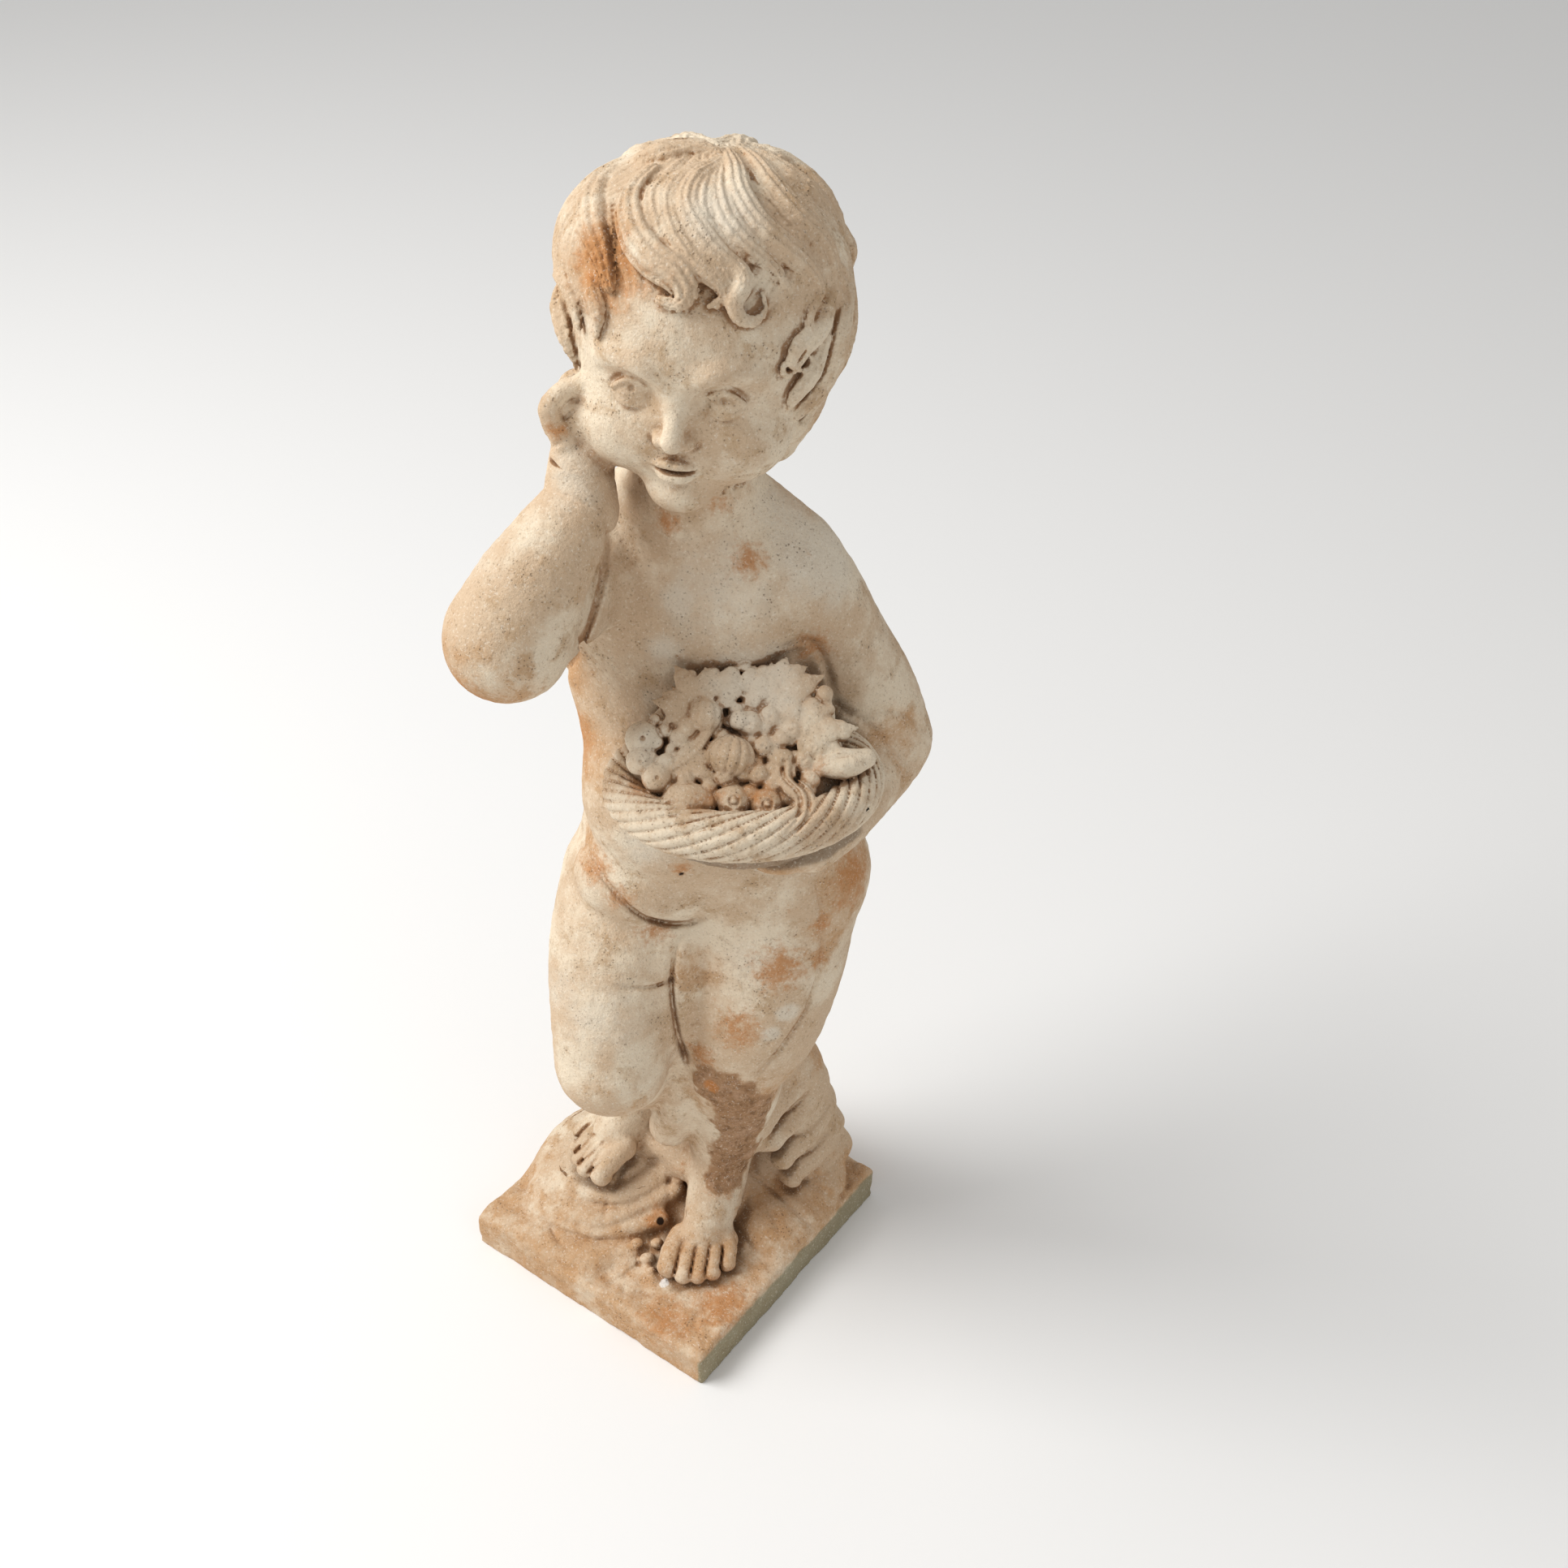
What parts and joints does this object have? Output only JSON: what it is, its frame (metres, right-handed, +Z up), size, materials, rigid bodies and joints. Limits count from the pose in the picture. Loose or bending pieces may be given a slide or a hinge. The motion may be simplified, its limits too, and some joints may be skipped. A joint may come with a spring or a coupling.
{
  "type": "garden statue",
  "caption": "Cast-stone garden statue of a standing child with a hand at the cheek and a fruit basket on the arm, on a square slab.",
  "frame": {"origin": "centre of the slab's flat underside, on the ground", "axes": "+Z up through the head; the slab's sides lie along X and Y; the figure stands corner-wise and faces the corner at +X -Y"},
  "size_m": [0.2793, 0.2697, 0.85],
  "materials": {
    "cast_stone": "weathered reconstituted stone, matt and finely pitted, with rust-tan stains in the hollows"
  },
  "bodies": {
    "root": {"cherub_statue": "cast_stone"}
  },
  "joints": []
}
